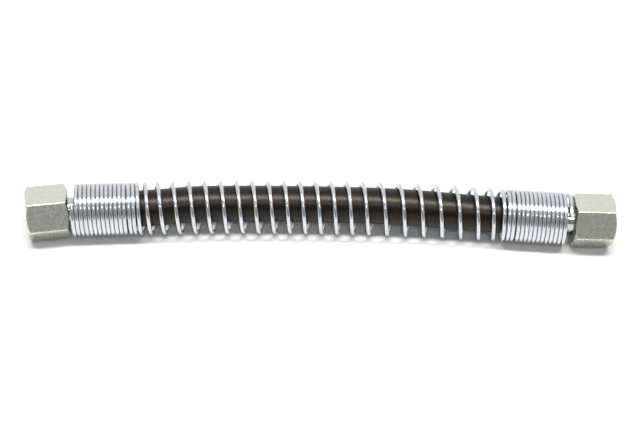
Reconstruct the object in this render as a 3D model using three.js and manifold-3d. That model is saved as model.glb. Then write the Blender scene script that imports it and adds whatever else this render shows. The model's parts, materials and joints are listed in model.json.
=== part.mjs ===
// Transmission oil line: a rubber hose inside a wire spring guard, with a crimped
// end fitting and a captive union nut at each end.
// Millimetres. The line lies along X on its lowest coils, bowed gently towards +Y, with +Z up.

import * as THREE from 'three';
import { mergeVertices } from 'three/addons/utils/BufferGeometryUtils.js';
import Module from 'manifold-3d';

const wasm = await Module();
wasm.setup();

// The whole line
const lineLength = 267.5;          // outer face to outer face of the two nuts, along the line
const endBend = 3.8;               // degrees that each straight end turns out of the chord
const touchGap = 0.3;              // left between two pieces that touch on the real line

// Hose
const hoseOuterRadius = 8.35;
const hoseBoreRadius = 5;
const hoseSqueeze = 0.35;          // how far the ferrule presses the rubber in
const hoseShoulder = 0.9;          // length over which the rubber swells out of the ferrule
const hoseSides = 12;
const hoseSteps = 10;              // rings along the free stretch
const leftEaseLength = 33;         // over which the hose climbs to its place in the guard
const rightEaseLength = 60;

// Ferrules
const ferruleLength = 26;
const ferruleWall = 1.6;
const ferruleLipLength = 2;        // inward lip that locks in the stem's groove
const ferruleMouthChamfer = 0.4;

// Stems
const stemBoreRadius = 3.6;
const neckRadius = 6;
const neckReach = 4.5;             // plain neck between the nut and the ferrule
const grooveDepth = 0.5;
const lipBite = 0.3;               // how far the ferrule's lip hides below the neck
const stopCollarRadius = 7.8;      // the hose butts against this collar
const stopCollarLength = 1.8;
const insertLength = 21.5;
const barbCount = 5;
const barbDepth = 0.35;
const headLength = 3;
const noseLength = 3.9;
const noseAngle = 12;              // degrees, half of the 24 degree sealing cone
const noseStep = 0.25;             // from the head down to the wide end of the cone
const boreChamfer = 0.5;

// Union nuts
const nutAcrossFlats = 22;
const nutLength = 18.8;
const nutFaceRadius = 10.6;        // flat ring left inside the turned chamfer
const nutChamferAngle = 30;        // degrees
const threadMajorRadius = 9;
const threadPitch = 1.5;
const threadDepth = 0.5413;        // of a metric nut thread, in pitches
const collarLength = 4.4;          // the part of the nut that grips behind the stem's head
const nutDrop = 0.25;              // each loose nut hangs this far below its stem
const leftNutLean = 5.8;           // degrees, each loose nut lies cocked on its stem
const rightNutLean = 3.2;

// Spring guard
const wireDiameter = 1.92;
const turnCount = 53;
const leftClosedTurns = 14.6;
const rightClosedTurns = 14.4;
const evenTurns = 15.4;            // open turns from the left before the coils spread wider
const wideStretch = 1.18;          // pitch of the wider open turns against the even ones
const easeTurns = 3.5;             // turns over which the coil opens out
const setGap = 0.35;               // small gap that the closed coils have taken, two turns in
const setGapDepth = 2;
const setGapTurns = 0.7;
const peelGap = 0.65;              // the last turn on the right stands off
const peelDepth = 0.55;
const peelTurns = 0.6;
const leftGuardGap = 1.35;         // nut face to wire
const rightGuardGap = 0.75;
const wireSides = 6;
const turnSegments = 15;
const tipSegments = 6;             // from the cut end of the wire down to its lowest point

// How finely round pieces are drawn
const nutSegments = 48;
const stemSegments = 20;
const ferruleSegments = 24;

// Sizes that follow from those above
const radians = THREE.MathUtils.degToRad;
const maxLean = radians(Math.max(leftNutLean, rightNutLean));
const threadMinorRadius = threadMajorRadius - threadDepth * threadPitch;
const collarLeanRoom = collarLength / 2 * Math.tan(maxLean);
const collarRadius = neckRadius + nutDrop + collarLeanRoom + touchGap;
const collarStart = nutLength - collarLength;
const nutPivot = nutLength - collarLength / 2;
const headReach = collarLength / 2 + headLength + noseLength / 2;
const headSway = Math.hypot(nutDrop, headReach * Math.tan(maxLean));
const headRadius = threadMinorRadius - headSway - touchGap;
const seatGap = touchGap / Math.SQRT1_2 + nutDrop + headRadius * Math.tan(maxLean);
const headEnd = collarStart - seatGap - (headRadius - collarRadius);
const headStart = headEnd - headLength;
const noseStart = headStart - noseLength;
const coneWideRadius = headRadius - noseStep;
const noseRadius = coneWideRadius - noseLength * Math.tan(radians(noseAngle));

const hoseSqueezedRadius = hoseOuterRadius - hoseSqueeze;
const ferruleInnerRadius = hoseSqueezedRadius + touchGap;
const ferruleOuterRadius = ferruleInnerRadius + ferruleWall;
const ferruleStart = nutLength + neckReach;
const ferruleEnd = ferruleStart + ferruleLength;
const lipEnd = ferruleStart + ferruleLipLength;
const grooveRadius = neckRadius - grooveDepth;
const grooveStart = ferruleStart - touchGap;
const grooveEnd = lipEnd + touchGap;
const stopCollarEnd = grooveEnd + stopCollarLength;
const hoseStart = stopCollarEnd + touchGap;
const insertEnd = stopCollarEnd + insertLength;
const barbRadius = hoseBoreRadius - touchGap;

const facetInset = Math.cos(Math.PI / turnSegments);
const guardInnerRadius = (ferruleOuterRadius + touchGap) / facetInset;
const guardOuterRadius = guardInnerRadius + wireDiameter;
const coilRadius = guardInnerRadius + wireDiameter / 2;
const closedPitch = wireDiameter;
const guardStart = nutLength + leftGuardGap + wireDiameter / 2;
const guardEnd = lineLength - nutLength - rightGuardGap - wireDiameter / 2;
const tipAngle = 3 / 2 * Math.PI - tipSegments * 2 * Math.PI / turnSegments;

const hoseSlack = guardInnerRadius * facetInset - hoseOuterRadius - touchGap;
const hoseShift = hoseSlack * Math.SQRT1_2;

// The line seen from above: straight through each fitting, one even arc between them.
// Distance is measured along the line from the middle, left end negative.
const halfFree = lineLength / 2 - ferruleEnd;
const bendRadius = halfFree / radians(endBend);

function headingAt(distance) {
  return -THREE.MathUtils.clamp(distance, -halfFree, halfFree) / bendRadius;
}

function directionAt(distance) {
  const heading = headingAt(distance);
  return new THREE.Vector3(Math.cos(heading), Math.sin(heading), 0);
}

function sidewaysAt(distance) {
  const heading = headingAt(distance);
  return new THREE.Vector3(-Math.sin(heading), Math.cos(heading), 0);
}

function placeAt(distance) {
  const bent = THREE.MathUtils.clamp(distance, -halfFree, halfFree);
  const angle = bent / bendRadius;
  const place = new THREE.Vector3(
    bendRadius * Math.sin(angle),
    bendRadius * (Math.cos(angle) - 1),
    0,
  );
  return place.addScaledVector(directionAt(distance), distance - bent);
}

// A piece turned about the local X axis, from [along, radius] corners.
function turned(corners, segments) {
  const points = corners.map(([along, radius]) => new THREE.Vector2(radius, along));
  const geometry = new THREE.LatheGeometry(points, segments);
  geometry.rotateZ(-Math.PI / 2);
  return geometry;
}

// A hollow turned piece: outer corners from left to right, then the bore from right to left.
function turnedTube(outer, bore, segments) {
  return turned([...outer, ...bore, outer[0]], segments);
}

function asSolid(geometry) {
  const bare = geometry.clone();
  bare.deleteAttribute('normal');
  bare.deleteAttribute('uv');
  const merged = mergeVertices(bare);
  const corners = merged.index.array;
  const kept = [];
  for (let i = 0; i < corners.length; i += 3) {
    const [a, b, c] = [corners[i], corners[i + 1], corners[i + 2]];
    if (a !== b && b !== c && c !== a) kept.push(a, b, c);
  }
  return new wasm.Manifold(new wasm.Mesh({
    numProp: 3,
    vertProperties: new Float32Array(merged.attributes.position.array),
    triVerts: new Uint32Array(kept),
  }));
}

function asGeometry(solid) {
  const mesh = solid.getMesh();
  const geometry = new THREE.BufferGeometry();
  geometry.setAttribute('position', new THREE.BufferAttribute(new Float32Array(mesh.vertProperties), 3));
  geometry.setIndex(new THREE.BufferAttribute(new Uint32Array(mesh.triVerts), 1));
  const flat = geometry.toNonIndexed();
  flat.computeVertexNormals();
  return flat;
}

// Union nut: a hexagon bar with both ends turned to a chamfer, a threaded socket at the
// outer end and a collar at the inner end. The socket is drawn at the thread's minor radius.
function unionNutGeometry() {
  const cornerRadius = nutAcrossFlats / Math.sqrt(3);
  const hexagon = new THREE.Shape();
  for (let corner = 0; corner < 6; corner += 1) {
    const angle = Math.PI / 2 + corner * Math.PI / 3;
    const [across, up] = [cornerRadius * Math.cos(angle), cornerRadius * Math.sin(angle)];
    if (corner === 0) hexagon.moveTo(across, up);
    else hexagon.lineTo(across, up);
  }
  const bar = new THREE.ExtrudeGeometry(hexagon, { depth: nutLength, bevelEnabled: false });
  bar.rotateY(Math.PI / 2);

  const reach = cornerRadius + touchGap;
  const chamferDepth = (reach - nutFaceRadius) * Math.tan(radians(nutChamferAngle));
  const turnedForm = turned([
    [0, 0],
    [0, nutFaceRadius],
    [chamferDepth, reach],
    [nutLength - chamferDepth, reach],
    [nutLength, nutFaceRadius],
    [nutLength, 0],
  ], nutSegments);

  const mouthDepth = threadMajorRadius - threadMinorRadius;
  const socket = turned([
    [-nutLength, 0],
    [-nutLength, threadMajorRadius],
    [0, threadMajorRadius],
    [mouthDepth, threadMinorRadius],
    [collarStart - (threadMinorRadius - collarRadius), threadMinorRadius],
    [collarStart, collarRadius],
    [2 * nutLength, collarRadius],
    [2 * nutLength, 0],
  ], nutSegments);

  return asGeometry(asSolid(bar).intersect(asSolid(turnedForm)).subtract(asSolid(socket)));
}

// Stem: sealing cone, head, neck, groove for the ferrule's lip, stop collar and a barbed
// insert for the hose, with the oil bore through it all.
function stemGeometry() {
  const outer = [
    [noseStart, noseRadius],
    [headStart, coneWideRadius],
    [headStart, headRadius],
    [headEnd, headRadius],
    [headEnd + headRadius - neckRadius, neckRadius],
    [grooveStart, neckRadius],
    [grooveStart, grooveRadius],
    [grooveEnd, grooveRadius],
    [grooveEnd, stopCollarRadius],
    [stopCollarEnd, stopCollarRadius],
    [stopCollarEnd, barbRadius - barbDepth],
  ];
  const barbPitch = insertLength / (barbCount + 1);
  for (let barb = 1; barb <= barbCount; barb += 1) {
    const edge = stopCollarEnd + barb * barbPitch;
    outer.push([edge, barbRadius]);
    outer.push([edge + barbPitch, barbRadius - barbDepth]);
  }
  const bore = [
    [insertEnd, stemBoreRadius],
    [noseStart + boreChamfer, stemBoreRadius],
    [noseStart, stemBoreRadius + boreChamfer],
  ];
  return turnedTube(outer, bore, stemSegments);
}

// Ferrule: a crimped sleeve with an inward lip that locks it to the stem.
function ferruleGeometry() {
  const lipRadius = neckRadius - lipBite;
  const outer = [
    [ferruleStart, lipRadius],
    [ferruleStart, ferruleOuterRadius - ferruleMouthChamfer],
    [ferruleStart + ferruleMouthChamfer, ferruleOuterRadius],
    [ferruleEnd, ferruleOuterRadius],
  ];
  const bore = [
    [ferruleEnd, ferruleInnerRadius],
    [lipEnd, ferruleInnerRadius],
    [lipEnd, lipRadius],
  ];
  return turnedTube(outer, bore, ferruleSegments);
}

// Hose: pressed in by the ferrule at both ends, and bent to the line's arc. Between the
// fittings it lies against the upper far side of the guard.
function hoseGeometry() {
  const endDistance = lineLength / 2 - hoseStart;
  const swollen = halfFree - touchGap - hoseShoulder;
  const freeDistances = [];
  for (let step = 0; step <= hoseSteps; step += 1) {
    freeDistances.push(THREE.MathUtils.lerp(-swollen, swollen, step / hoseSteps));
  }
  const outer = [
    [-endDistance, hoseSqueezedRadius],
    [-halfFree + touchGap, hoseSqueezedRadius],
    ...freeDistances.map((distance) => [distance, hoseOuterRadius]),
    [halfFree - touchGap, hoseSqueezedRadius],
    [endDistance, hoseSqueezedRadius],
  ];
  const flatBoreRadius = hoseBoreRadius / Math.cos(Math.PI / hoseSides);
  const bore = [endDistance, ...freeDistances.reverse(), -endDistance]
    .map((distance) => [distance, flatBoreRadius]);
  const hose = turnedTube(outer, bore, hoseSides);
  const positions = hose.attributes.position;
  const corner = new THREE.Vector3();
  for (let i = 0; i < positions.count; i += 1) {
    corner.fromBufferAttribute(positions, i);
    const easeLength = corner.x < 0 ? leftEaseLength : rightEaseLength;
    const settled = THREE.MathUtils.smoothstep(halfFree - Math.abs(corner.x), 0, easeLength);
    const place = placeAt(corner.x);
    place.addScaledVector(sidewaysAt(corner.x), corner.y + settled * hoseShift);
    place.z = guardOuterRadius + settled * hoseShift + corner.z;
    positions.setXYZ(i, place.x, place.y, place.z);
  }
  hose.computeVertexNormals();
  return hose;
}

// Spring guard: where the coil is closed each turn lies against the next, and between the
// fittings it opens out. The open pitch is what fills the space between the two nuts.
function pitchParts(turn) {
  const depth = Math.min(turn - leftClosedTurns, turnCount - rightClosedTurns - turn);
  const opening = Math.sin(Math.PI / 2 * THREE.MathUtils.clamp(depth / easeTurns, 0, 1));
  const stretch = turn < leftClosedTurns + evenTurns ? 1 : wideStretch;
  let fixed = closedPitch * (1 - opening);
  if (Math.abs(depth + setGapDepth) < setGapTurns / 2) fixed += setGap / setGapTurns;
  if (Math.abs(turnCount - peelDepth - turn) < peelTurns / 2) fixed += peelGap / peelTurns;
  return { fixed, open: opening * stretch };
}

function coilDistances() {
  const steps = turnCount * turnSegments;
  const parts = [];
  for (let step = 0; step < steps; step += 1) {
    parts.push(pitchParts((step + 0.5) / turnSegments));
  }
  const fixedLength = parts.reduce((sum, part) => sum + part.fixed, 0) / turnSegments;
  const openShare = parts.reduce((sum, part) => sum + part.open, 0) / turnSegments;
  const openPitch = (guardEnd - guardStart - fixedLength) / openShare;
  const distances = [guardStart - lineLength / 2];
  for (const part of parts) {
    const pitch = part.fixed + part.open * openPitch;
    distances.push(distances.at(-1) + pitch / turnSegments);
  }
  return distances;
}

class CoilPath extends THREE.Curve {
  constructor(distances) {
    super();
    this.distances = distances;
  }

  outwardAt(t) {
    const angle = tipAngle + t * turnCount * 2 * Math.PI;
    const step = Math.round(t * turnCount * turnSegments);
    const outward = sidewaysAt(this.distances[step]).multiplyScalar(Math.cos(angle));
    outward.z = Math.sin(angle);
    return outward;
  }

  getPoint(t) {
    const step = Math.round(t * turnCount * turnSegments);
    const place = placeAt(this.distances[step]);
    place.z = guardOuterRadius;
    return place.addScaledVector(this.outwardAt(t), coilRadius);
  }

  getSpacedPoints(divisions) {
    return this.getPoints(divisions);
  }

  // The wire's section keeps one corner pointing straight out from the line.
  computeFrenetFrames(divisions) {
    const frames = { tangents: [], normals: [], binormals: [] };
    for (let step = 0; step <= divisions; step += 1) {
      const before = this.getPoint(Math.max(step - 1, 0) / divisions);
      const after = this.getPoint(Math.min(step + 1, divisions) / divisions);
      const tangent = after.sub(before).normalize();
      const binormal = new THREE.Vector3().crossVectors(tangent, this.outwardAt(step / divisions));
      binormal.normalize();
      frames.tangents.push(tangent);
      frames.binormals.push(binormal);
      frames.normals.push(new THREE.Vector3().crossVectors(binormal, tangent));
    }
    return frames;
  }
}

function springGeometry() {
  const section = new THREE.Shape();
  for (let side = 0; side < wireSides; side += 1) {
    const angle = side * 2 * Math.PI / wireSides;
    const [out, across] = [Math.cos(angle), Math.sin(angle)].map((part) => part * wireDiameter / 2);
    if (side === 0) section.moveTo(out, across);
    else section.lineTo(out, across);
  }
  return new THREE.ExtrudeGeometry(section, {
    steps: turnCount * turnSegments,
    extrudePath: new CoilPath(coilDistances()),
  });
}

// Finishes
const brightZinc = { color: '#c9ced0', roughness: 0.25, metalness: 1 };
const satinZinc = { color: '#c3c5b8', roughness: 0.45, metalness: 1 };
const blackRubber = { color: '#25201d', roughness: 0.6, metalness: 0 };

function piece(name, geometry, finish) {
  const mesh = new THREE.Mesh(geometry, new THREE.MeshStandardMaterial(finish));
  mesh.name = name;
  return mesh;
}

// One end of the line. Its local X runs inwards from the nut's outer face along the stem.
function endFitting(side, distance, turn, nutLean) {
  const fitting = new THREE.Group();
  fitting.position.copy(placeAt(distance));
  fitting.position.z = guardOuterRadius;
  fitting.rotation.z = turn;
  fitting.add(piece(`${side}_stem`, stemGeometry(), brightZinc));
  fitting.add(piece(`${side}_ferrule`, ferruleGeometry(), brightZinc));

  const nutGeometry = unionNutGeometry();
  nutGeometry.translate(-nutPivot, 0, 0);
  const nut = piece(`${side}_union_nut`, nutGeometry, satinZinc);
  nut.position.set(nutPivot, 0, -nutDrop);
  nut.rotation.z = radians(nutLean);
  fitting.add(nut);
  return fitting;
}

const oilLine = new THREE.Group();
oilLine.add(piece('hose', hoseGeometry(), blackRubber));
oilLine.add(piece('spring_guard', springGeometry(), brightZinc));
oilLine.add(endFitting('left', -lineLength / 2, radians(endBend), leftNutLean));
oilLine.add(endFitting('right', lineLength / 2, Math.PI - radians(endBend), rightNutLean));

// The origin is the middle of the footprint, at the height of the lowest coils.
oilLine.updateMatrixWorld(true);
const extent = new THREE.Box3().setFromObject(oilLine, true);
const middle = extent.getCenter(new THREE.Vector3());
oilLine.position.set(-middle.x, -middle.y, -extent.min.z);
oilLine.updateMatrixWorld(true);

export default oilLine;
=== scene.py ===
# %% [markdown]
# # A transmission oil line
#
# A short flexible oil line: a rubber hose inside a coiled wire guard, with a crimped steel
# fitting and a captive hexagon nut at each end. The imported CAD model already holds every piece
# at its real size and place. This lesson dresses it: each piece is built again with the fine
# form that faceted CAD solids leave out, and each surface gets the finish of the real one.

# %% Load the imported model
import json
import math

import bmesh
import bpy
from mathutils import Matrix, Vector


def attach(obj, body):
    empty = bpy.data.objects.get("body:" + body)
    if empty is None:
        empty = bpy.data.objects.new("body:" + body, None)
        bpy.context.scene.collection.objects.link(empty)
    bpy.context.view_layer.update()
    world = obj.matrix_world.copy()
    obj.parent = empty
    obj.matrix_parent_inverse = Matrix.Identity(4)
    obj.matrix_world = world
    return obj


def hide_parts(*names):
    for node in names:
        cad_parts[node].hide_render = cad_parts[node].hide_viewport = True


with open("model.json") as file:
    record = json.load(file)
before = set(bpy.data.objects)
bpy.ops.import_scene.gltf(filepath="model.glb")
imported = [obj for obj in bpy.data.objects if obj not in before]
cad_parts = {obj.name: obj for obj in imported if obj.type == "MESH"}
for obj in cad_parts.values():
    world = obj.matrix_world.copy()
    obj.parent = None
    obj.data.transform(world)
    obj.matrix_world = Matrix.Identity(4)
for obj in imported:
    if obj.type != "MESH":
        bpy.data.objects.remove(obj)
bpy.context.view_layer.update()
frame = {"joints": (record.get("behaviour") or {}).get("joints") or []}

MM = 0.001

# %% [markdown]
# ## The camera
#
# The line is seen from above its near side, from well back, so its far and near edges stay
# almost parallel. A long lens does that. The camera is placed by turning it round the middle of
# the line and then stepping back, which keeps each number a real angle or distance.

# %% The camera
camera_lens = 78.75                      # this and the sensor's width are in millimetres
camera_sensor = 36
camera_distance = 641.2 * MM
camera_nearest = 10 * MM                 # nothing nearer is drawn
camera_elevation = math.radians(43.3)
camera_azimuth = math.radians(2.8)
camera_roll = math.radians(2.95)
camera_target = Vector((0.04, 0.87, 11.5)) * MM

camera_turn = (
    Matrix.Rotation(-camera_azimuth, 4, "Z")
    @ Matrix.Rotation(math.pi / 2 - camera_elevation, 4, "X")
    @ Matrix.Rotation(camera_roll, 4, "Z")
)
camera = bpy.data.objects.new("camera", bpy.data.cameras.new("camera"))
camera.data.lens = camera_lens
camera.data.sensor_width = camera_sensor
camera.data.clip_start = camera_nearest
camera.matrix_world = (
    Matrix.Translation(camera_target)
    @ camera_turn
    @ Matrix.Translation((0, 0, camera_distance))
)
bpy.context.scene.collection.objects.link(camera)
bpy.context.scene.camera = camera
print("camera at, in mm:", [round(part / MM) for part in camera.matrix_world.translation])

# %% [markdown]
# ## The route of the line
#
# The hose has taken a gentle set: seen from above it is straight in each fitting and one even
# arc between them. One function gives the point under the line's axis and the direction square
# to it. Every piece is built straight first, along X from the middle, and then laid on the route.
# The middle comes from the frame: the left nut's joint says where that nut's pivot is.

# %% The line's main sizes
line_length = 267.5 * MM                 # outer face to outer face of the two nuts
end_bend = math.radians(3.8)             # that each straight end turns out of the chord
nut_length = 18.8 * MM
nut_collar = 4.4 * MM                    # the part of the nut that grips behind the stem's head
nut_drop = 0.25 * MM                     # each loose nut hangs this far below its stem
ferrule_start = 23.3 * MM                # from the nut's outer face
ferrule_end = 49.3 * MM

# %% The route of the line
half_free = line_length / 2 - ferrule_end
bend_radius = half_free / end_bend
nut_pivot = nut_length - nut_collar / 2
joints = {joint["name"]: joint for joint in frame["joints"]}
left_pivot = Vector(joints["left_nut_spin"]["pos_m"])
line_height = left_pivot.z + nut_drop
middle = Vector((0, 0, 0))


def route(distance):
    """The point under the axis this far from the middle of the line, and the way square to it."""
    bent = max(-half_free, min(half_free, distance))
    angle = bent / bend_radius
    arc = bend_radius * Vector((math.sin(angle), math.cos(angle) - 1, 0))
    along = Vector((math.cos(angle), -math.sin(angle), 0))
    square = Vector((math.sin(angle), math.cos(angle), 0))
    return middle + arc + along * (distance - bent), square


middle = left_pivot - route(nut_pivot - line_length / 2)[0]
middle.z = 0


def lay_on_route(bm):
    """Moves a piece that was built straight along X to its place on the line."""
    for vert in bm.verts:
        place, square = route(vert.co.x)
        vert.co = place + square * vert.co.y + Vector((0, 0, line_height + vert.co.z))


print("bend radius in mm:", round(bend_radius / MM), "middle:", [round(x / MM, 2) for x in middle])

# %% [markdown]
# ## Helpers for turned pieces
#
# Hose, ferrule, stem and the cutters of the nut are all round about one axis. On a lathe the
# tool follows half of the section. Here the half section is a closed wire of a few vertices,
# its corners can be broken by a small bevel, and one spin round X makes the piece. A spin leaves
# edges and faces in no fixed order, so they are sorted, and every run gives the same mesh.

# %% Helpers for half sections
def closed_wire(bm, corners):
    """A closed wire through these [along, radius] corners of a half section."""
    verts = [bm.verts.new((along, 0, radius)) for along, radius in corners]
    for first, second in zip(verts, verts[1:] + verts[:1]):
        bm.edges.new((first, second))
    return verts


def break_corners(bm, corners, width, kind):
    """Rounds vertices or edges over this width, in three small steps."""
    bmesh.ops.bevel(
        bm, geom=corners, offset=width, offset_type="OFFSET", affect=kind,
        segments=3, profile=0.5, material=-1,
    )


# %% Helpers for turned pieces
same_point = 0.001 * MM                  # vertices nearer than this are one


def spun(corners, steps, corner_break=0.0):
    """A closed piece turned about X, from the [along, radius] corners of its half section."""
    bm = bmesh.new()
    verts = closed_wire(bm, corners)
    if corner_break:
        break_corners(bm, verts, corner_break, "VERTICES")
    bmesh.ops.spin(
        bm, geom=bm.verts[:] + bm.edges[:], cent=(0, 0, 0), axis=(1, 0, 0),
        angle=2 * math.pi, steps=steps, use_merge=True, use_duplicate=False,
    )
    bmesh.ops.remove_doubles(bm, verts=bm.verts, dist=same_point)
    bmesh.ops.dissolve_degenerate(bm, edges=bm.edges, dist=same_point)
    bmesh.ops.recalc_face_normals(bm, faces=bm.faces)
    return bm


# %% Make an object of a bmesh
def put_in_order(parts):
    """Sorts edges or faces by their vertices, because a spin leaves them in no fixed order."""
    ranked = sorted(parts, key=lambda part: sorted(vert.index for vert in part.verts))
    rank = {part: place for place, part in enumerate(ranked)}
    parts.sort(key=rank.get)


def as_object(bm, name, sharp_angle=35):
    """Turns a bmesh into an object at the origin, smooth but for edges over sharp_angle."""
    bm.verts.index_update()
    put_in_order(bm.edges)
    put_in_order(bm.faces)
    mesh = bpy.data.meshes.new(name)
    bm.to_mesh(mesh)
    bm.free()
    mesh.shade_smooth()
    mesh.set_sharp_from_angle(angle=math.radians(sharp_angle))
    piece = bpy.data.objects.new(name, mesh)
    bpy.context.scene.collection.objects.link(piece)
    print(name, "faces:", len(mesh.polygons))
    return piece


# %% [markdown]
# ## The hose
#
# The real hose is black rubber with its textile plies vulcanised in, pushed over the barbs of
# each stem and pressed there by the ferrule. It swells a little where it comes out of the
# ferrule, and between the fittings it lies against the far upper side of the guard. A curve with
# a bevel would give only the outer skin, so the hose is spun with its bore and then laid on the
# route. Its straight form is kept in an attribute, so that marks can follow the hose.

# %% The hose's sizes
hose_radius = 8.35 * MM
hose_bore = 5.0 * MM
hose_squeezed = 8.0 * MM                 # under the ferrule
hose_start = 27.7 * MM                   # from the nut's outer face, against the stem's collar
left_ease = 33 * MM                      # over which it climbs to its place in the guard
right_ease = 60 * MM
hose_shift = 1.096 * MM                  # sideways and up, till it touches the guard
hose_step = 2.5 * MM
swell_length = 1.2 * MM
swell_profile = [(0, 0), (0.15, 0.35), (0.4, 0.72), (0.7, 0.93)]     # shares of length and rise
hose_turning_steps = 72
touch_gap = 0.3 * MM

# %% The hose's half section
hose_end = line_length / 2 - hose_start
mouth = half_free - touch_gap            # where the hose comes out of each ferrule
swollen = mouth - swell_length           # from here to the middle it has its full radius
free_steps = round(2 * swollen / hose_step)
free_stations = [swollen * (2 * step / free_steps - 1) for step in range(free_steps + 1)]
swell = [
    [mouth - swell_length * share, hose_squeezed + (hose_radius - hose_squeezed) * rise]
    for share, rise in swell_profile
]
hose_outside = (
    [[-hose_end, hose_squeezed]]
    + [[-along, radius] for along, radius in swell]
    + [[along, hose_radius] for along in free_stations]
    + swell[::-1]
    + [[hose_end, hose_squeezed]]
)
hose_inside = [[along, hose_bore] for along in [hose_end, *free_stations[::-1], -hose_end]]
print("corners of the hose's half section:", len(hose_outside + hose_inside))


# %% Lay the hose in its guard
def settled(distance):
    """0 in the fittings and 1 where the hose has reached its place in the guard."""
    ease = left_ease if distance < 0 else right_ease
    share = max(0.0, min(1.0, (half_free - abs(distance)) / ease))
    return share * share * (3 - 2 * share)


hose_bm = spun(hose_outside + hose_inside, hose_turning_steps)
straight = hose_bm.verts.layers.float_vector.new("straight")
for vert in hose_bm.verts:
    vert[straight] = vert.co
    shift = settled(vert.co.x) * hose_shift
    vert.co.y += shift
    vert.co.z += shift
lay_on_route(hose_bm)
hose = as_object(hose_bm, "rubber_hose")

# %% The middle of the hose, end to end
path_steps = 60
for step in range(path_steps + 1):
    distance = hose_end * (2 * step / path_steps - 1)
    place, square = route(distance)
    shift = settled(distance) * hose_shift

# %% [markdown]
# ## The spring guard
#
# The guard is one spring wire, wound close at both ends and open between them. It keeps the
# hose from kinking and chafing. A curve with a round bevel could make it, but then each of its
# points would be worked out one by one. Spin with a step along the axis gives one even turn of
# wire; copies of that turn, joined end to end, give an even helix. Then every ring of the wire
# slides along the axis to where the real coil has it, which makes the closed and the open
# stretches with one rule, and the straightened wire is kept in an attribute for its drawing marks.

# %% The guard's sizes
wire_radius = 0.96 * MM
coil_radius = 11.388 * MM
turn_count = 53
left_closed = 14.6                       # closed turns
right_closed = 14.4
even_turns = 15.4                        # open turns before the coils spread wider
wide_stretch = 1.18
ease_turns = 3.5                         # turns over which the coil opens out
set_gap = 0.35 * MM                      # a small gap that the closed coils have taken
set_depth = 2                            # turns into each closed end
set_turns = 0.7                          # turns over which it opens
peel_gap = 0.65 * MM                     # the last turn on the right stands off
peel_depth = 0.55                        # turns from the cut end
peel_turns = 0.6
left_guard_gap = 1.35 * MM               # nut face to wire
right_guard_gap = 0.75 * MM
tip_angle = math.radians(126)            # of the cut ends, from the far side over the top
turn_steps = 48
wire_sides = 16
joining_distance = 0.01 * MM             # the ends of two turns are one ring to within this

guard_start = nut_length + left_guard_gap + wire_radius - line_length / 2
guard_end = line_length / 2 - nut_length - right_guard_gap - wire_radius
print("length that the coils fill, in mm:", round((guard_end - guard_start) / MM, 1))


# %% The pitch of the coils
def pitch_parts(turn):
    """The fixed part of the pitch at this turn, and its share of the open pitch."""
    depth = min(turn - left_closed, turn_count - right_closed - turn)
    opening = math.sin(math.pi / 2 * max(0.0, min(1.0, depth / ease_turns)))
    fixed = 2 * wire_radius * (1 - opening)
    if abs(depth + set_depth) < set_turns / 2:
        fixed += set_gap / set_turns
    if abs(turn_count - peel_depth - turn) < peel_turns / 2:
        fixed += peel_gap / peel_turns
    stretch = 1 if turn < left_closed + even_turns else wide_stretch
    return fixed, opening * stretch


def coil_distances():
    """Where each step of the coil lies along the line: the open pitch fills the space."""
    parts = [pitch_parts((step + 0.5) / turn_steps) for step in range(turn_count * turn_steps)]
    fixed_length = sum(fixed for fixed, share in parts) / turn_steps
    open_shares = sum(share for fixed, share in parts) / turn_steps
    open_pitch = (guard_end - guard_start - fixed_length) / open_shares
    print("open pitch in mm:", round(open_pitch / MM, 2))
    distances = [guard_start]
    for fixed, share in parts:
        distances.append(distances[-1] + (fixed + share * open_pitch) / turn_steps)
    return distances


# %% Helpers for coiled pieces
def coil(bm, turns, steps_in_turn, pitch):
    """Winds the wire that is in bm about X, as an open helix."""
    bmesh.ops.spin(
        bm, geom=bm.verts[:] + bm.edges[:], cent=(0, 0, 0), axis=(1, 0, 0),
        dvec=(pitch / steps_in_turn, 0, 0), angle=2 * math.pi * turns,
        steps=round(turns * steps_in_turn), use_merge=False, use_duplicate=False,
    )


def close_ends(bm):
    """Fills the two open ends of a coil."""
    ends = [edge for edge in bm.edges if edge.is_boundary]
    bmesh.ops.holes_fill(bm, edges=ends, sides=0)
    bmesh.ops.recalc_face_normals(bm, faces=bm.faces)


# %% Wind an even coil
even_pitch = 4 * wire_radius
guard_bm = bmesh.new()
section = bmesh.ops.create_circle(guard_bm, segments=wire_sides, radius=wire_radius)["verts"]
bmesh.ops.rotate(guard_bm, verts=section, matrix=Matrix.Rotation(math.pi / 2, 3, "X"))
bmesh.ops.translate(guard_bm, verts=section, vec=(0, 0, coil_radius))
coil(guard_bm, 1, turn_steps, even_pitch)
one_turn = guard_bm.verts[:] + guard_bm.edges[:] + guard_bm.faces[:]
for turn in range(1, turn_count):
    copied = bmesh.ops.duplicate(guard_bm, geom=one_turn)["geom"]
    copied_verts = [part for part in copied if isinstance(part, bmesh.types.BMVert)]
    bmesh.ops.translate(guard_bm, verts=copied_verts, vec=(turn * even_pitch, 0, 0))
bmesh.ops.remove_doubles(guard_bm, verts=guard_bm.verts, dist=joining_distance)
close_ends(guard_bm)
print("rings of wire:", len(guard_bm.verts) // wire_sides)

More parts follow.
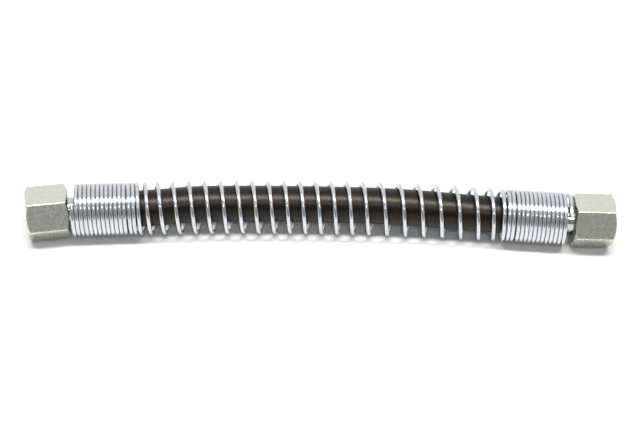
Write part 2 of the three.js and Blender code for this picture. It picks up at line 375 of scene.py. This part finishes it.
# %% Slide the coil to its real pitch
drawn = guard_bm.verts.layers.float_vector.new("drawn_wire")
distances = coil_distances()
turn_length = 2 * math.pi * coil_radius
for vert in guard_bm.verts:
    share = (math.atan2(vert.co.z, vert.co.y) - math.pi / 2) / (2 * math.pi) % 1
    turn = share + round(vert.co.x / even_pitch - share)
    aside = vert.co.x - turn * even_pitch
    radius = math.hypot(vert.co.y, vert.co.z)
    vert[drawn] = (turn * turn_length, aside, radius - coil_radius)
    step = max(0, min(turn_count * turn_steps, round(turn * turn_steps)))
    angle = tip_angle + turn * 2 * math.pi
    vert.co = (distances[step] + aside, radius * math.cos(angle), radius * math.sin(angle))
lay_on_route(guard_bm)
guard = as_object(guard_bm, "wire_guard")

# %% [markdown]
# ## The two ends
#
# Both ends are the same three pieces, so each piece is a function, built with its X running
# inwards from the nut's outer face. The right end is turned half round, never mirrored, because
# a mirror would make its thread left-handed.

# %% Place a piece at an end
def to_end(bm, side):
    """Puts a piece, built inwards from the nut's face, at the left or right end of the line."""
    if side == "right":
        bmesh.ops.rotate(bm, verts=bm.verts, matrix=Matrix.Rotation(math.pi, 3, "Z"))
    shift = -line_length / 2 if side == "left" else line_length / 2
    bmesh.ops.translate(bm, verts=bm.verts, vec=(shift, 0, 0))
    lay_on_route(bm)


# %% [markdown]
# ## The stem
#
# The stem is turned from free-cutting steel bar and zinc plated: a 24 degree sealing cone, the
# head that the nut pulls on, a neck, a groove for the ferrule's lip, the stop collar and the
# barbed insert, with the oil bore through all of it. Cylinders and cones could be stacked for
# it, but every joint between two would need a Boolean. One spin of half its section closes it.

# %% The stem's sizes
stem_bore = 3.6 * MM
nose_start = 5.756 * MM
nose_radius = 6.041 * MM
cone_radius = 6.87 * MM
head_start = 9.656 * MM
head_end = 12.656 * MM
head_radius = 7.12 * MM
neck_radius = 6.0 * MM
groove_radius = 5.5 * MM
groove_length = 2.3 * MM
stop_radius = 7.8 * MM
stop_length = 1.8 * MM
insert_length = 21.5 * MM
barb_radius = 4.7 * MM
barb_depth = 0.35 * MM
barb_count = 5
bore_chamfer = 0.5 * MM
edge_break = 0.06 * MM
turning_steps = 96

groove_end = ferrule_start + groove_length
stop_end = groove_end + stop_length
insert_end = stop_end + insert_length
print("stem length in mm:", round((insert_end - nose_start) / MM, 1))


# %% The two stems
def make_stem(side):
    neck_slope = head_radius - neck_radius
    section = [
        (nose_start, nose_radius),
        (head_start, cone_radius),
        (head_start, head_radius),
        (head_end, head_radius),
        (head_end + neck_slope, neck_radius),
        (ferrule_start - touch_gap, neck_radius),
        (ferrule_start - touch_gap, groove_radius),
        (groove_end, groove_radius),
        (groove_end, stop_radius),
        (stop_end, stop_radius),
        (stop_end, barb_radius - barb_depth),
    ]
    barb_pitch = (insert_end - stop_end) / (barb_count + 1)
    for barb in range(1, barb_count + 1):
        edge = stop_end + barb * barb_pitch
        section += [(edge, barb_radius), (edge + barb_pitch, barb_radius - barb_depth)]
    section += [
        (insert_end, stem_bore),
        (nose_start + bore_chamfer, stem_bore),
        (nose_start, stem_bore + bore_chamfer),
    ]
    bm = spun(section, turning_steps, corner_break=edge_break)
    to_end(bm, side)
    return as_object(bm, f"{side}_stem_turned")


stems = {side: make_stem(side) for side in ("left", "right")}

# %% [markdown]
# ## The ferrule
#
# A ferrule is a soft steel sleeve with an inward lip. A press closes eight jaws on it, which
# leaves eight shallow lengthwise flats and a fine ridge between each two. The sleeve is spun
# and the jaws' marks are pressed in by moving its skin, because a Boolean cut would leave hard
# edges where pressed steel has soft ones.

# %% The ferrule's sizes
ferrule_inner = 8.3 * MM
ferrule_outer = 9.9 * MM
lip_radius = 5.7 * MM
lip_length = 2 * MM
mouth_break = 0.4 * MM
jaw_count = 8
jaw_depth = 0.18 * MM
jaw_start = ferrule_start + 4 * MM
jaw_end = ferrule_end - 3 * MM
jaw_runout = 1.2 * MM
sleeve_rings = 24
skin_depth = 0.01 * MM                   # what lies deeper than this isn't pressed


# %% The two ferrules
def jaw_press(along, angle):
    """How deep the jaws have pressed the sleeve here: most at the middle of each jaw."""
    inside = min(along - jaw_start, jaw_end - along) / jaw_runout
    runout = max(0.0, min(1.0, inside))
    across = abs(math.cos(angle * jaw_count / 2))
    return jaw_depth * runout * across


def make_ferrule(side):
    lip_end = ferrule_start + lip_length
    side_start = ferrule_start + mouth_break
    side_length = ferrule_end - ferrule_start - 2 * mouth_break
    long_side = [
        (side_start + side_length * step / sleeve_rings, ferrule_outer)
        for step in range(sleeve_rings + 1)
    ]
    section = [
        (ferrule_start, lip_radius),
        (ferrule_start, ferrule_outer - mouth_break),
        *long_side,
        (ferrule_end, ferrule_outer - mouth_break),
        (ferrule_end, ferrule_inner),
        (lip_end, ferrule_inner),
        (lip_end, lip_radius),
    ]
    bm = spun(section, turning_steps)
    for vert in bm.verts:
        radius = math.hypot(vert.co.y, vert.co.z)
        if radius > ferrule_outer - skin_depth:
            pressed = radius - jaw_press(vert.co.x, math.atan2(vert.co.z, vert.co.y))
            vert.co.y *= pressed / radius
            vert.co.z *= pressed / radius
    to_end(bm, side)
    return as_object(bm, f"{side}_crimped_ferrule")


ferrules = {side: make_ferrule(side) for side in ("left", "right")}

# %% [markdown]
# ## The union nut
#
# A union nut is made from hexagon bar. Both ends are turned to a chamfer, which leaves the
# curved edge on each flat, and the socket is bored and threaded M18 x 1.5 up to the collar that
# grips behind the stem's head. A cone meets six flats in curves that no bevel gives, so here a
# Boolean does what the lathe does. The long edges are broken first, and the thread is one
# trapezoid tooth, wound along the socket.

# %% The nut's sizes
across_flats = 22 * MM
corner_radius = across_flats / math.sqrt(3)
face_radius = 10.6 * MM
chamfer_angle = math.radians(30)
thread_major = 9 * MM
thread_minor = 8.188 * MM
thread_pitch = 1.5 * MM
collar_radius = 6.773 * MM
collar_start = nut_length - nut_collar
mouth_depth = 1.0 * MM
mouth_widening = 0.25 * MM               # of the socket's radius, at the nut's outer face
nut_edge_break = 0.3 * MM                # of the hexagon's long edges
machined_break = 0.16 * MM               # of the edges that the lathe leaves
machined_angle = math.radians(24)        # edges flatter than this are not broken
nut_steps = 128
thread_steps = 64


# %% Cut one solid with another
def apply_modifiers(piece):
    """Leaves the piece as its modifiers make it, with none left on it."""
    evaluated = piece.evaluated_get(bpy.context.evaluated_depsgraph_get())
    piece.data = bpy.data.meshes.new_from_object(evaluated)
    piece.modifiers.clear()


def machine(work, tool_bm, operation):
    """Cuts work with a tool shape, or keeps what the two share, and deletes the tool."""
    tool = as_object(tool_bm, "machining_tool")
    cut = work.modifiers.new("cut", "BOOLEAN")
    cut.operation = operation
    cut.solver = "EXACT"
    cut.object = tool
    bpy.context.view_layer.update()
    apply_modifiers(work)
    bpy.data.objects.remove(tool)


# %% The hexagon bar
def hexagon_bar():
    bm = bmesh.new()
    bmesh.ops.create_cone(
        bm, cap_ends=True, segments=6, radius1=corner_radius, radius2=corner_radius,
        depth=nut_length,
    )
    bmesh.ops.rotate(bm, verts=bm.verts, matrix=Matrix.Rotation(math.pi / 2, 3, "Y"))
    bmesh.ops.translate(bm, verts=bm.verts, vec=(nut_length / 2, 0, 0))
    first = max(bm.verts, key=lambda vert: vert.co.y)
    off_corner = math.atan2(first.co.z, first.co.y)
    bmesh.ops.rotate(bm, verts=bm.verts, matrix=Matrix.Rotation(-off_corner, 3, "X"))
    long_edges = [edge for edge in bm.edges if edge.calc_length() > nut_length - touch_gap]
    break_corners(bm, long_edges, nut_edge_break, "EDGES")
    return bm


# %% The thread
def thread_tooth():
    """The thread as one long tooth: its root is sunk into the socket's wall."""
    root = thread_major + 0.05 * MM
    half_root = 0.62 * MM
    half_crest = 0.1 * MM
    start = 1.4 * MM
    turns = 6.6
    bm = bmesh.new()
    closed_wire(bm, [
        (start - half_root, root),
        (start - half_crest, thread_minor),
        (start + half_crest, thread_minor),
        (start + half_root, root),
    ])
    coil(bm, turns, thread_steps, thread_pitch)
    close_ends(bm)
    return bm


# %% The two union nuts
def make_nut(side):
    reach = corner_radius + touch_gap
    chamfer_depth = (reach - face_radius) * math.tan(chamfer_angle)
    nut = as_object(hexagon_bar(), f"{side}_nut_hexagon")
    machine(nut, spun([
        (0, 0),
        (0, face_radius),
        (chamfer_depth, reach),
        (nut_length - chamfer_depth, reach),
        (nut_length, face_radius),
        (nut_length, 0),
    ], nut_steps), "INTERSECT")
    machine(nut, spun([
        (-nut_length, 0),
        (-nut_length, thread_major + mouth_widening),
        (0, thread_major + mouth_widening),
        (mouth_depth, thread_major),
        (collar_start - (thread_major - collar_radius), thread_major),
        (collar_start, collar_radius),
        (2 * nut_length, collar_radius),
        (2 * nut_length, 0),
    ], nut_steps), "DIFFERENCE")
    bm = bmesh.new()
    bm.from_mesh(nut.data)
    bpy.data.objects.remove(nut)
    weight = bm.edges.layers.float.new("bevel_weight_edge")
    for edge in bm.edges:
        if edge.calc_face_angle(0) > machined_angle:
            edge[weight] = 1
    tooth_bm = thread_tooth()
    tooth = bpy.data.meshes.new("tooth")
    tooth_bm.to_mesh(tooth)
    tooth_bm.free()
    bm.from_mesh(tooth)
    bpy.data.meshes.remove(tooth)

    joint = joints[f"{side}_nut_spin"]
    inwards = -Vector(joint["axis"]).normalized()
    up = Vector((0, 0, 1))
    turn = Matrix((inwards, up.cross(inwards), up)).transposed()
    bmesh.ops.translate(bm, verts=bm.verts, vec=(-nut_pivot, 0, 0))
    bmesh.ops.rotate(bm, verts=bm.verts, matrix=turn)
    bmesh.ops.translate(bm, verts=bm.verts, vec=joint["pos_m"])
    piece = as_object(bm, f"{side}_hexagon_nut", sharp_angle=50)
    softened = piece.modifiers.new("broken edges", "BEVEL")
    softened.limit_method = "WEIGHT"
    softened.width = machined_break
    softened.segments = 2
    softened.harden_normals = True
    return piece


nuts = {side: make_nut(side) for side in ("left", "right")}

# %% [markdown]
# ## Colours and nodes
#
# Colours are written as the eye sees them, in sRGB hex, and one function turns them to the
# linear values that Blender mixes. One more function adds a node with its settings and links.

# %% Helpers for materials
def linear(hex_colour):
    """An sRGB hex colour as the linear RGBA that shaders take."""
    parts = [int(hex_colour[i:i + 2], 16) / 255 for i in (1, 3, 5)]
    return [p / 12.92 if p <= 0.04045 else ((p + 0.055) / 1.055) ** 2.4 for p in parts] + [1]


def add(tree, kind, sockets=None, **settings):
    """Adds a node. A socket's value is a number, a colour or another node's output."""
    node = tree.nodes.new(kind)
    for name, setting in settings.items():
        setattr(node, name, setting)
    for name, value in (sockets or {}).items():
        if isinstance(value, bpy.types.NodeSocket):
            tree.links.new(value, node.inputs[name])
        else:
            node.inputs[name].default_value = value
    return node


def per_metre(millimetres):
    """The texture scale at which one feature is this many millimetres wide."""
    return 1 / (millimetres * MM)


def new_material(name, **shader_values):
    """A material with one Principled shader, its even values set on the shader's own sockets."""
    material = bpy.data.materials.new(name)
    material.use_nodes = True
    tree = material.node_tree
    tree.nodes.clear()
    sockets = {key.replace("_", " "): value for key, value in shader_values.items()}
    shader = add(tree, "ShaderNodeBsdfPrincipled", sockets)
    add(tree, "ShaderNodeOutputMaterial", {"Surface": shader.outputs["BSDF"]})
    return material, tree, shader


# %% [markdown]
# ## Satin zinc plate
#
# The nuts are zinc plated in a barrel with hundreds of others. They tumble against each other,
# so their flats turn an even satin with a mottle about a millimetre across, and a warm cast
# from the clear passivation. The mottle is in colour and gloss; the dents of the barrel, about as
# wide and very shallow, are bump.

# %% Satin zinc plate
satin_zinc, tree, shader = new_material("satin barrel-plated zinc", Metallic=1.0)
place = add(tree, "ShaderNodeTexCoord").outputs["Object"]
mottle = add(tree, "ShaderNodeTexNoise", {
    "Vector": place, "Scale": per_metre(1.1), "Detail": 4.0, "Roughness": 0.6,
})
mottle_tone = add(tree, "ShaderNodeMapRange", {
    "Value": mottle.outputs["Fac"], "From Min": 0.36, "From Max": 0.64,
})
tone = add(tree, "ShaderNodeMix", {
    "Factor": mottle_tone.outputs["Result"], "A": linear("#bcbdb0"), "B": linear("#d6d7ca"),
}, data_type="RGBA")
tree.links.new(tone.outputs["Result"], shader.inputs["Base Color"])
gloss = add(tree, "ShaderNodeMapRange", {
    "Value": mottle.outputs["Fac"], "From Min": 0.3, "From Max": 0.7,
    "To Min": 0.46, "To Max": 0.16,
})
tree.links.new(gloss.outputs["Result"], shader.inputs["Roughness"])
grain = add(tree, "ShaderNodeTexNoise", {
    "Vector": place, "Scale": per_metre(1.4), "Detail": 3.0, "Roughness": 0.55,
})
pits = add(tree, "ShaderNodeBump", {
    "Height": grain.outputs["Fac"], "Strength": 0.55, "Distance": 0.2 * MM,
})
tree.links.new(pits.outputs["Normal"], shader.inputs["Normal"])

# %% [markdown]
# ## Bright zinc on drawn wire
#
# Spring wire is pulled through a die, which leaves fine lines along it, and then plated bright.
# The lines have to run along the wire, round every turn, so they read the straightened wire that
# the coil kept in its attribute. Real ones are hundredths of a millimetre wide, too fine to show
# from here, so they are drawn a fifth of a millimetre wide.

# %% Bright zinc on drawn wire
drawn_zinc, tree, shader = new_material("bright zinc on drawn wire", Metallic=1.0)
along_wire = add(tree, "ShaderNodeAttribute", attribute_name="drawn_wire").outputs["Vector"]
lines_place = add(tree, "ShaderNodeMapping", {
    "Vector": along_wire, "Scale": (per_metre(12), per_metre(0.22), per_metre(0.22)),
})
lines = add(tree, "ShaderNodeTexNoise", {
    "Vector": lines_place.outputs["Vector"], "Scale": 1.0, "Detail": 3.0, "Roughness": 0.6,
})
cloud = add(tree, "ShaderNodeTexNoise", {
    "Vector": add(tree, "ShaderNodeTexCoord").outputs["Object"],
    "Scale": per_metre(4), "Detail": 3.0,
})
tone = add(tree, "ShaderNodeMix", {
    "Factor": cloud.outputs["Fac"], "A": linear("#babfc4"), "B": linear("#d0d4d7"),
}, data_type="RGBA")
tree.links.new(tone.outputs["Result"], shader.inputs["Base Color"])
gloss = add(tree, "ShaderNodeMapRange", {
    "Value": lines.outputs["Fac"], "From Min": 0.3, "From Max": 0.7,
    "To Min": 0.14, "To Max": 0.26,
})
tree.links.new(gloss.outputs["Result"], shader.inputs["Roughness"])
scratch = add(tree, "ShaderNodeBump", {
    "Height": lines.outputs["Fac"], "Strength": 0.25, "Distance": 0.02 * MM,
})
tree.links.new(scratch.outputs["Normal"], shader.inputs["Normal"])

# %% [markdown]
# ## Bright zinc on turned steel
#
# Stems and ferrules are turned, so under the plate they carry rings from the tool's feed, about
# a fifth of a millimetre apart. Waves would be too even. Both pieces lie nearly along X, so noise
# that is short along X and long across it gives such rings, in colour, gloss and relief.

# %% Bright zinc on turned steel
turned_zinc, tree, shader = new_material("bright zinc on turned steel", Metallic=1.0)
place = add(tree, "ShaderNodeTexCoord").outputs["Object"]
rings_place = add(tree, "ShaderNodeMapping", {
    "Vector": place, "Scale": (per_metre(0.2), per_metre(6), per_metre(6)),
})
rings = add(tree, "ShaderNodeTexNoise", {
    "Vector": rings_place.outputs["Vector"], "Scale": 1.0, "Detail": 3.0, "Roughness": 0.6,
})
tone = add(tree, "ShaderNodeMix", {
    "Factor": rings.outputs["Fac"], "A": linear("#adb0ad"), "B": linear("#c2c4c1"),
}, data_type="RGBA")
tree.links.new(tone.outputs["Result"], shader.inputs["Base Color"])
gloss = add(tree, "ShaderNodeMapRange", {
    "Value": rings.outputs["Fac"], "From Min": 0.3, "From Max": 0.7,
    "To Min": 0.13, "To Max": 0.22,
})
tree.links.new(gloss.outputs["Result"], shader.inputs["Roughness"])
feed = add(tree, "ShaderNodeBump", {
    "Height": rings.outputs["Fac"], "Strength": 0.4, "Distance": 0.02 * MM,
})
tree.links.new(feed.outputs["Normal"], shader.inputs["Normal"])

# %% [markdown]
# ## Black rubber
#
# Hose covers are synthetic rubber, cured under a wound tape that leaves a faint weave, and
# handling leaves them very slightly brown with dust in the grain. The weave follows the hose,
# so it reads the straight form that the hose kept. The tape's threads are under a millimetre
# apart, too fine to show from here, so their bands are drawn about 1.6 mm apart.

# %% Black rubber
rubber, tree, shader = new_material(
    "tape-cured black rubber", IOR=1.52, Specular_IOR_Level=0.28, Specular_Tint=linear("#fff1de"),
)
kept = add(tree, "ShaderNodeAttribute", attribute_name="straight").outputs["Vector"]
cloud = add(tree, "ShaderNodeTexNoise", {"Vector": kept, "Scale": per_metre(9), "Detail": 5.0})
tone = add(tree, "ShaderNodeMix", {
    "Factor": cloud.outputs["Fac"], "A": linear("#050404"), "B": linear("#0a0807"),
}, data_type="RGBA")
tree.links.new(tone.outputs["Result"], shader.inputs["Base Color"])
grain = add(tree, "ShaderNodeTexNoise", {
    "Vector": kept, "Scale": per_metre(0.5), "Detail": 3.0, "Roughness": 0.6,
})
gloss = add(tree, "ShaderNodeMapRange", {
    "Value": grain.outputs["Fac"], "From Min": 0.3, "From Max": 0.7,
    "To Min": 0.28, "To Max": 0.42,
})
tree.links.new(gloss.outputs["Result"], shader.inputs["Roughness"])
band_scale = per_metre(0.8) / (2 * math.pi)      # a wave texture's bands are then 1.6 mm apart
threads = add(tree, "ShaderNodeTexWave", {
    "Vector": kept, "Scale": band_scale, "Distortion": 1.5, "Detail": 2.0,
}, bands_direction="X")
weave = add(tree, "ShaderNodeMath", {
    0: threads.outputs["Fac"], 1: grain.outputs["Fac"],
}, operation="ADD")
impression = add(tree, "ShaderNodeBump", {
    "Height": weave.outputs["Value"], "Strength": 0.35, "Distance": 0.08 * MM,
})
tree.links.new(impression.outputs["Normal"], shader.inputs["Normal"])

# %% [markdown]
# ## Dress the model
#
# Every piece now gets its finish, stands in for its CAD node and rides on that node's body, so
# the nuts turn with their joints. The hose is the one part that could lie in another shape; its
# length, thickness and both ends are those of the real one.

# %% Finishes and bodies
def dress(piece, material, node, body):
    piece.data.materials.clear()
    piece.data.materials.append(material)
    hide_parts(node)
    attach(piece, body)


dress(hose, rubber, "hose", "line")
dress(guard, drawn_zinc, "spring_guard", "line")
for side in ("left", "right"):
    dress(stems[side], turned_zinc, f"{side}_stem", "line")
    dress(ferrules[side], turned_zinc, f"{side}_ferrule", "line")
    dress(nuts[side], satin_zinc, f"{side}_union_nut", f"{side}_nut")

# %% [markdown]
# ## The stage
#
# Bright metal shows what is around it, so the stage is half of its look. The floor is a sheet of
# pale matt paper, a metre square. A broad softbox hangs over the line and gives the one long
# highlight; a small lamp on the near side gives the bright dot on each turn below it. Behind the
# line the room is light and in front of it dim, which puts the dark band on every turn of wire.
# For the camera and for reflections the floor is lifted towards white by Light Path, and it
# keeps the shadow.

# %% Floor
floor_reach = 0.5                        # metres from the middle to each side of the sheet
floor_drop = 0.02 * MM                   # below the lowest coils
floor_lift = 0.03                        # towards white, for the camera and for reflections

floor_bm = bmesh.new()
bmesh.ops.create_grid(floor_bm, x_segments=1, y_segments=1, size=floor_reach)
bmesh.ops.translate(floor_bm, verts=floor_bm.verts, vec=(0, 0, -floor_drop))
floor = as_object(floor_bm, "floor")
floor_material, tree, shader = new_material(
    "pale matt paper", Base_Color=linear("#fafafa"), Roughness=0.9, Specular_IOR_Level=0.1,
    Emission_Color=(1, 1, 1, 1),
)
ray = add(tree, "ShaderNodeLightPath").outputs
seen = add(tree, "ShaderNodeMath", {
    0: ray["Is Camera Ray"], 1: ray["Is Glossy Ray"],
}, operation="MAXIMUM")
seen = add(tree, "ShaderNodeMath", {
    0: seen.outputs["Value"], 1: ray["Is Transmission Ray"],
}, operation="MAXIMUM")
lift = add(tree, "ShaderNodeMath", {0: seen.outputs["Value"], 1: floor_lift}, operation="MULTIPLY")
tree.links.new(lift.outputs["Value"], shader.inputs["Emission Strength"])
floor.data.materials.append(floor_material)

# %% Lamps
lamp_distance = 1.2                      # metres from the middle of the floor


def area_lamp(name, at, size, radiance):
    """A rectangular lamp that faces the camera's target, as bright as radiance says."""
    lamp = bpy.data.lights.new(name, "AREA")
    lamp.shape = "RECTANGLE"
    lamp.size, lamp.size_y = size
    lamp.energy = radiance * math.pi * size[0] * size[1]
    holder = bpy.data.objects.new(name, lamp)
    away = Vector(at) - camera_target
    holder.matrix_world = Matrix.Translation(at) @ away.to_track_quat("Z", "Y").to_matrix().to_4x4()
    bpy.context.scene.collection.objects.link(holder)


def on_near_side(elevation):
    """A point over the camera's side of the line, this many degrees above the floor."""
    angle = math.radians(elevation)
    return (0, -lamp_distance * math.cos(angle), lamp_distance * math.sin(angle))


area_lamp("overhead softbox", at=on_near_side(83.5), size=(1.2, 0.26), radiance=21.5)
area_lamp("near lamp", at=on_near_side(51), size=(0.12, 0.12), radiance=33)

# %% The room around
room_light_side = (0, 0.94, 0.34)        # towards the far side and a little up
room_steepness = 1.6                     # how the light falls off away from there
room_gain = 0.88
room_dimmest = 0.34
room_fill = 0.12                         # the share of the room that lights matt surfaces

world = bpy.data.worlds.new("studio")
world.use_nodes = True
tree = world.node_tree
tree.nodes.clear()
way = add(tree, "ShaderNodeTexCoord").outputs["Generated"]
facing = add(tree, "ShaderNodeVectorMath", {0: way, 1: room_light_side}, operation="DOT_PRODUCT")
share = add(tree, "ShaderNodeMapRange", {
    "Value": facing.outputs["Value"], "From Min": -0.9, "From Max": 1.0,
})
steep = add(tree, "ShaderNodeMath", {
    0: share.outputs["Result"], 1: room_steepness,
}, operation="POWER")
room = add(tree, "ShaderNodeMath", {
    0: steep.outputs["Value"], 1: room_gain, 2: room_dimmest,
}, operation="MULTIPLY_ADD")
fill = add(tree, "ShaderNodeMath", {0: room.outputs["Value"], 1: room_fill}, operation="MULTIPLY")

# %% What the camera, the metal and the matt surfaces see of the room
ray = add(tree, "ShaderNodeLightPath").outputs
mirrored = add(tree, "ShaderNodeMath", {
    0: ray["Is Glossy Ray"], 1: ray["Is Transmission Ray"],
}, operation="MAXIMUM")
strength = add(tree, "ShaderNodeMix", {
    "Factor": mirrored.outputs["Value"], "A": fill.outputs["Value"], "B": room.outputs["Value"],
})
# The camera itself sees plain white past the edge of the floor.
strength = add(tree, "ShaderNodeMix", {
    "Factor": ray["Is Camera Ray"], "A": strength.outputs["Result"], "B": 1.0,
})
background = add(tree, "ShaderNodeBackground", {
    "Color": (1, 1, 1, 1), "Strength": strength.outputs["Result"],
})
add(tree, "ShaderNodeOutputWorld", {"Surface": background.outputs["Background"]})
bpy.context.scene.world = world
bpy.context.scene.view_settings.view_transform = "Standard"
